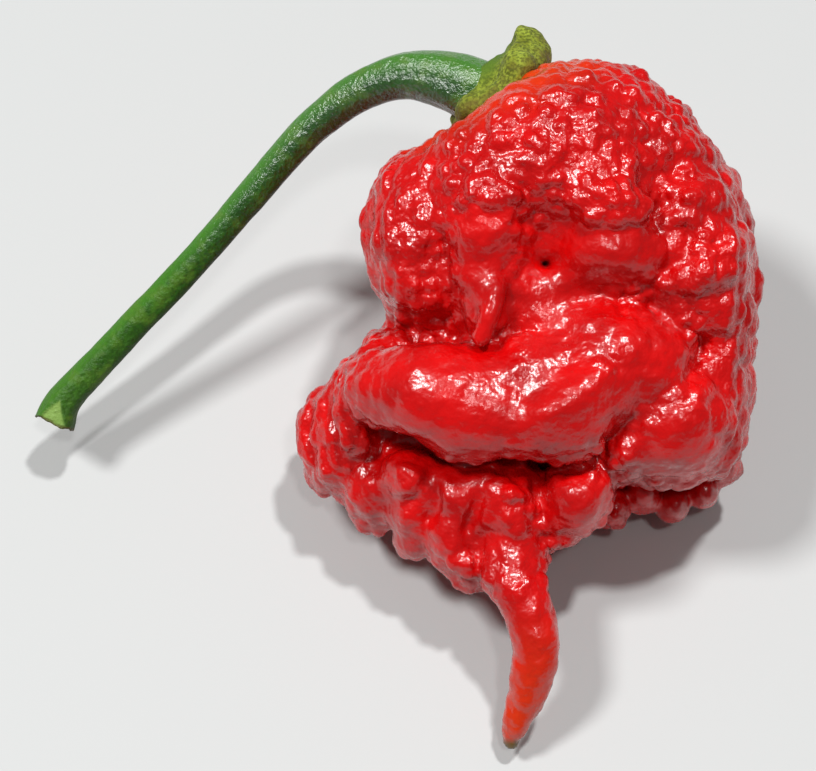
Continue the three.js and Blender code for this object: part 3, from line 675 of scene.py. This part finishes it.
# a slanting tear opens towards the end, and the cut's rim is ragged
def tearEnd(points, shade, end, tip, angles):
    look = stemRod
    depth = np.clip((points - end) @ tip / look["tearLength"] + 1, 0, 1.2)
    turned = np.tile(angles, len(points) // len(angles)) - look["tearSide"]
    about = np.abs(np.angle(np.exp(1j * turned)))
    torn = easeBetween(depth * look["tearWidth"] - about, *look["tearEdge"]) * (depth > 0)
    inward = points - end - np.outer((points - end) @ tip, tip)
    inward /= np.linalg.norm(inward, axis=1)[:, None] + 1e-9
    points = points - inward * (look["tearDepth"] * torn * depth * (shade <= 1))[:, None]
    height, spacing, seed = look["ragged"]
    ragged = height * softHills(points, spacing, seed) * easeBetween(depth, *look["raggedFrom"])
    return points - np.outer(ragged, tip), torn


def buildStem():
    look = stemRod
    line = smoothPath(look["line"], look["steps"])
    n = look["around"]
    angles = np.linspace(0, 2 * math.pi, n, endpoint=False)
    heading, across, upward = stemDirections(line)
    points, shade = stemRings(line, heading, across, upward, angles)
    points, torn = tearEnd(points, shade, line[-1, :3], heading[-1], angles)
    rows = len(points) // n
    faces = []
    for r in range(rows - 1):
        for i in range(n):
            a, b = r * n + i, r * n + (i + 1) % n
            faces.append((a, b, b + n, a + n))
    points = np.vstack([points, line[0, :3], points[-n:].mean(0)])
    faces += [(len(points) - 2, (i + 1) % n, i) for i in range(n)]
    faces += [(len(points) - 1, (rows - 1) * n + i, (rows - 1) * n + (i + 1) % n) for i in range(n)]
    mesh = meshFrom("stemRod", points, faces)
    swell = sum(height * softHills(points, spacing, seed) for height, spacing, seed in look["swells"])
    setPoints(mesh, toWorld(points + meshNormals(mesh) * swell[:, None]))
    turnOut(mesh)
    mesh.shade_smooth()
    alongStem = np.concatenate([shade, [0, 1 + look["cutShade"]]])
    # aroundStem is highest on the side given painted light and lowest on the side given painted shade
    aroundStem = np.concatenate([np.tile(np.cos(angles - look["paintedLightAngle"]), rows), [0, 0]])
    rim = easeBetween(alongStem, *look["cutRimStart"]) * (1 - easeBetween(alongStem, *look["cutRimEnd"]))
    torn = np.concatenate([torn, [0, 1]])
    addShade(mesh, "alongStem", np.clip(alongStem, 0, 1))
    addShade(mesh, "cutFace", np.maximum(easeBetween(alongStem, *look["cutFace"]), torn))
    addShade(mesh, "cutRim", rim)
    addShade(mesh, "aroundStem", 0.5 + 0.5 * aroundStem)
    return linkPiece("stemStalk", mesh)


def newMaterial(name):
    material = bpy.data.materials.new(name)
    material.use_nodes = True
    tree = material.node_tree
    return material, tree, tree.nodes["Principled BSDF"]


def addNode(tree, kind, **settings):
    node = tree.nodes.new(kind)
    for key, value in settings.items():
        setattr(node, key, value)
    return node


def readShade(tree, name):
    return addNode(tree, "ShaderNodeAttribute", attribute_name=name).outputs["Fac"]


# the Mix node keeps its colour sockets at inputs 6 and 7 and output 2
def mixColour(tree, amount, first, second):
    node = addNode(tree, "ShaderNodeMix", data_type="RGBA")
    for socket, value in ((node.inputs[0], amount), (node.inputs[6], first), (node.inputs[7], second)):
        if isinstance(value, bpy.types.NodeSocket):
            tree.links.new(value, socket)
        elif isinstance(value, (tuple, list)):
            socket.default_value = (*value, 1)
        else:
            socket.default_value = value
    return node.outputs[2]


def noise(tree, scale, detail=3, rough=0.55):
    node = addNode(tree, "ShaderNodeTexNoise")
    node.inputs["Scale"].default_value = scale
    node.inputs["Detail"].default_value = detail
    node.inputs["Roughness"].default_value = rough
    place = addNode(tree, "ShaderNodeTexCoord")
    tree.links.new(place.outputs["Object"], node.inputs["Vector"])
    return node.outputs["Fac"]


def ramp(tree, source, stops):
    node = addNode(tree, "ShaderNodeValToRGB")
    band = node.color_ramp
    while len(band.elements) < len(stops):
        band.elements.new(0.5)
    for element, (place, value) in zip(band.elements, stops):
        element.position = place
        element.color = (*value, 1) if isinstance(value, tuple) else (value, value, value, 1)
    tree.links.new(source, node.inputs["Fac"])
    return node.outputs["Color"]


# bumps one on top of another
def stackBumps(tree, bumps):
    below = None
    for grain, depth, strength in bumps:
        node = addNode(tree, "ShaderNodeBump")
        node.inputs["Distance"].default_value = depth
        if isinstance(strength, str):
            tree.links.new(readShade(tree, strength), node.inputs["Strength"])
        else:
            node.inputs["Strength"].default_value = strength
        tree.links.new(noise(tree, *grain), node.inputs["Height"])
        if below is not None:
            tree.links.new(below, node.inputs["Normal"])
        below = node.outputs["Normal"]
    return below


def setSockets(shader, values):
    for name, value in values.items():
        shader.inputs[name].default_value = value


# In each finish a noise is its scale, detail and roughness, a band is the stops of a ramp, and
# a bump is its noise, its depth in metres, and its strength or the shade that gives it.
podFinish = {
    "clouds": (220, 4), "redBand": [(0.3, (0.42, 0.0004, 0.0008)), (0.7, (0.68, 0.0008, 0.0012))],
    "calyxOrange": (0.66, 0.045, 0.0004), "tailOrange": (0.60, 0.028, 0.0016),
    # the pit colour at the end of the next line is painted shade for the pit
    "tipBrown": (0.12, 0.07, 0.01), "pitShadeDark": (0.03, 0.001, 0.001),
    "glossNoise": (900, 3), "glossBand": [(0.35, 0.20), (0.7, 0.36)],
    "bumps": [((480, 2), 0.0005, 0.5), ((900, 2), 0.00028, "wrinkled"), ((2600, 2), 0.00004, 0.6)],
    "sockets": {
        "Subsurface Weight": 0.12, "Subsurface Radius": (1.0, 0.12, 0.08), "Subsurface Scale": 0.0012,
        "Specular IOR Level": 0.06, "Coat Weight": 1.0, "Coat Roughness": 0.26, "Coat IOR": 1.55,
    },
}


def podMaterial():
    look = podFinish
    material, tree, shader = newMaterial("wetRedSkin")
    colour = ramp(tree, noise(tree, *look["clouds"]), look["redBand"])
    colour = mixColour(tree, readShade(tree, "nearCalyx"), colour, look["calyxOrange"])
    colour = mixColour(tree, readShade(tree, "tailEnd"), colour, look["tailOrange"])
    colour = mixColour(tree, readShade(tree, "tipMark"), colour, look["tipBrown"])
    # painted shade darkens the small pit
    colour = mixColour(tree, readShade(tree, "paintedPitShade"), colour, look["pitShadeDark"])
    tree.links.new(colour, shader.inputs["Base Color"])
    gloss = ramp(tree, noise(tree, *look["glossNoise"]), look["glossBand"])
    tree.links.new(gloss, shader.inputs["Roughness"])
    setSockets(shader, look["sockets"])
    bumps = stackBumps(tree, look["bumps"])
    tree.links.new(bumps, shader.inputs["Normal"])
    tree.links.new(bumps, shader.inputs["Coat Normal"])
    return material


calyxFinish = {
    "patches": (700, 3, 0.6), "oliveBand": [(0.32, (0.16, 0.18, 0.008)), (0.68, (0.37, 0.46, 0.045))],
    "grains": (3600, 2), "grainBand": [(0.42, 0.0), (0.6, 0.75)], "grainColour": (0.05, 0.065, 0.004),
    "stemGreen": (0.09, 0.17, 0.012),
    "wear": (420, 3), "wearBand": [(0.42, 0.0), (0.62, 0.75)], "wearBrown": (0.13, 0.10, 0.015),
    "bumps": [((2200, 4), 0.0003, 0.8), ((6000, 2), 0.0001, 0.6)],
    "sockets": {"Roughness": 0.75, "Specular IOR Level": 0.25, "Sheen Weight": 0.06, "Sheen Roughness": 0.4},
}


def calyxMaterial():
    look = calyxFinish
    material, tree, shader = newMaterial("velvetOlive")
    colour = ramp(tree, noise(tree, *look["patches"]), look["oliveBand"])
    grains = ramp(tree, noise(tree, *look["grains"]), look["grainBand"])
    colour = mixColour(tree, grains, colour, look["grainColour"])
    colour = mixColour(tree, readShade(tree, "stemSide"), colour, look["stemGreen"])
    worn = ramp(tree, noise(tree, *look["wear"]), look["wearBand"])
    rim = mixColour(tree, worn, colour, look["wearBrown"])
    colour = mixColour(tree, readShade(tree, "rimEdge"), colour, rim)
    tree.links.new(colour, shader.inputs["Base Color"])
    setSockets(shader, look["sockets"])
    tree.links.new(stackBumps(tree, look["bumps"]), shader.inputs["Normal"])
    return material


stemFinish = {
    "streaks": (260, 4), "greenBand": [(0.3, (0.011, 0.070, 0.004)), (0.7, (0.036, 0.15, 0.008))],
    "middleBand": [(0.05, 0.0), (0.2, 0.55), (0.55, 0.5), (0.75, 0.0)], "middleGreen": (0.008, 0.055, 0.004),
    "specks": (2600, 2), "speckBand": [(0.4, 0.0), (0.62, 0.6)], "speckGreen": (0.006, 0.038, 0.003),
    # painted light on the stem's upper side and painted shade on its underside
    "litBand": [(0.62, 0.0), (0.95, 0.8)], "litGreen": (0.055, 0.22, 0.014),
    "shadyBand": [(0.05, 0.85), (0.45, 0.0)], "shadyGreen": (0.010, 0.045, 0.005),
    "agedBand": [(0.6, 0.0), (1.0, 0.35)], "agedGreen": (0.07, 0.14, 0.018),
    "blotches": (520, 3), "blotchBand": [(0.5, 0.0), (0.66, 0.45)], "blotchGreen": (0.10, 0.20, 0.02),
    "cutGreen": (0.22, 0.36, 0.08), "cutRimBrown": (0.07, 0.06, 0.015),
    "waxBand": [(0.52, 1.0), (0.70, 0.05)],  # the wax is worn off towards the cut end
    "bumps": [((1900, 2), 0.00018, 0.85), ((3400, 3), 0.00012, 0.9)],
    "sockets": {"Roughness": 0.5, "Specular IOR Level": 0.15, "Coat Roughness": 0.27, "Coat IOR": 1.75},
}


def stemMaterial():
    look = stemFinish
    material, tree, shader = newMaterial("stalkGreen")
    along, around = readShade(tree, "alongStem"), readShade(tree, "aroundStem")
    colour = ramp(tree, noise(tree, *look["streaks"]), look["greenBand"])
    colour = mixColour(tree, ramp(tree, along, look["middleBand"]), colour, look["middleGreen"])
    specks = ramp(tree, noise(tree, *look["specks"]), look["speckBand"])
    colour = mixColour(tree, specks, colour, look["speckGreen"])
    # painted light on the upper side, then painted shade on the underside
    colour = mixColour(tree, ramp(tree, around, look["litBand"]), colour, look["litGreen"])
    colour = mixColour(tree, ramp(tree, around, look["shadyBand"]), colour, look["shadyGreen"])
    colour = mixColour(tree, ramp(tree, along, look["agedBand"]), colour, look["agedGreen"])
    blotches = ramp(tree, noise(tree, *look["blotches"]), look["blotchBand"])
    colour = mixColour(tree, blotches, colour, look["blotchGreen"])
    colour = mixColour(tree, readShade(tree, "cutFace"), colour, look["cutGreen"])
    colour = mixColour(tree, readShade(tree, "cutRim"), colour, look["cutRimBrown"])
    tree.links.new(colour, shader.inputs["Base Color"])
    tree.links.new(ramp(tree, along, look["waxBand"]), shader.inputs["Coat Weight"])
    setSockets(shader, look["sockets"])
    bumps = stackBumps(tree, look["bumps"])
    tree.links.new(bumps, shader.inputs["Normal"])
    tree.links.new(bumps, shader.inputs["Coat Normal"])
    return material


def dress(piece, node, material):
    piece.data.materials.clear()
    piece.data.materials.append(material)
    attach(piece, "root")
    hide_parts(node)


pod = buildPod()
dress(pod, "pod", podMaterial())
calyx = buildCalyx()
dress(calyx, "calyx", calyxMaterial())
stem = buildStem()
dress(stem, "stem", stemMaterial())

floorLook = {"size": 6.0, "colour": (0.55, 0.56, 0.555), "roughness": 0.6}


def buildFloor():
    half = floorLook["size"] / 2
    corners = [(-half, -half, 0), (half, -half, 0), (half, half, 0), (-half, half, 0)]
    mesh = meshFrom("studioFloor", corners, [(0, 1, 2, 3)])
    floor = linkPiece("studioFloor", mesh)
    material, tree, shader = newMaterial("paleFloor")
    setSockets(shader, {"Base Color": (*floorLook["colour"], 1), "Roughness": floorLook["roughness"]})
    mesh.materials.append(material)


lamps = {
    "discs": {
        "key": {"from": (0.20, 0.16, 0.96), "distance": 1.2, "size": 0.09, "watts": 8.2},
        "window": {"from": (-0.47, 0.01, 0.89), "distance": 0.9, "size": 0.18, "watts": 5.6},
        "front": {"from": (0.12, -0.36, 0.93), "distance": 1.0, "size": 0.08, "watts": 1.4},
    },
    "aim": (0.01, 0.0, 0.015),
    "air": 0.11, "backdrop": 0.8,  # the backdrop looks pale but gives off only a little light
}


def buildLights():
    for name, look in lamps["discs"].items():
        data = bpy.data.lights.new(name + "Light", "AREA")
        data.shape = "DISK"
        data.size = look["size"]
        data.energy = look["watts"]
        lamp = bpy.data.objects.new(name + "Light", data)
        heading = Vector(look["from"]).normalized()
        lamp.location = Vector(lamps["aim"]) + heading * look["distance"]
        lamp.rotation_euler = heading.to_track_quat("Z", "Y").to_euler()
        bpy.context.scene.collection.objects.link(lamp)
    print("lights:", ", ".join(lamps["discs"]))


def buildAir():
    world = bpy.data.worlds.new("studioAir")
    world.use_nodes = True
    tree = world.node_tree
    fill = tree.nodes["Background"]
    seen = tree.nodes.new("ShaderNodeBackground")
    for node, strength in ((fill, lamps["air"]), (seen, lamps["backdrop"])):
        node.inputs["Color"].default_value = (1, 1, 1, 1)
        node.inputs["Strength"].default_value = strength
    path = tree.nodes.new("ShaderNodeLightPath")
    choose = tree.nodes.new("ShaderNodeMixShader")
    tree.links.new(path.outputs["Is Camera Ray"], choose.inputs["Fac"])
    tree.links.new(fill.outputs["Background"], choose.inputs[1])
    tree.links.new(seen.outputs["Background"], choose.inputs[2])
    tree.links.new(choose.outputs["Shader"], tree.nodes["World Output"].inputs["Surface"])
    bpy.context.scene.world = world


view = {
    "aim": (-10.43, -7.43, 0.0), "elevation": 60.0, "distance": 0.2168,
    "lens": 110.0, "sensor": 36.0, "clipStart": 0.01,
}


def buildCamera():
    data = bpy.data.cameras.new("viewCamera")
    data.lens = view["lens"]
    data.sensor_width = view["sensor"]
    data.clip_start = view["clipStart"]
    camera = bpy.data.objects.new("viewCamera", data)
    rise = math.radians(view["elevation"])
    aim = Vector(toWorld([view["aim"]])[0])
    camera.location = aim + view["distance"] * Vector((0, -math.cos(rise), math.sin(rise)))
    camera.rotation_euler = (math.pi / 2 - rise, 0, 0)
    bpy.context.scene.collection.objects.link(camera)
    bpy.context.scene.camera = camera
    print("camera:", view["elevation"], "degrees up")


buildFloor()
buildLights()
buildAir()
buildCamera()
bpy.context.scene.view_settings.view_transform = "Standard"
print("chilli pepper: done")
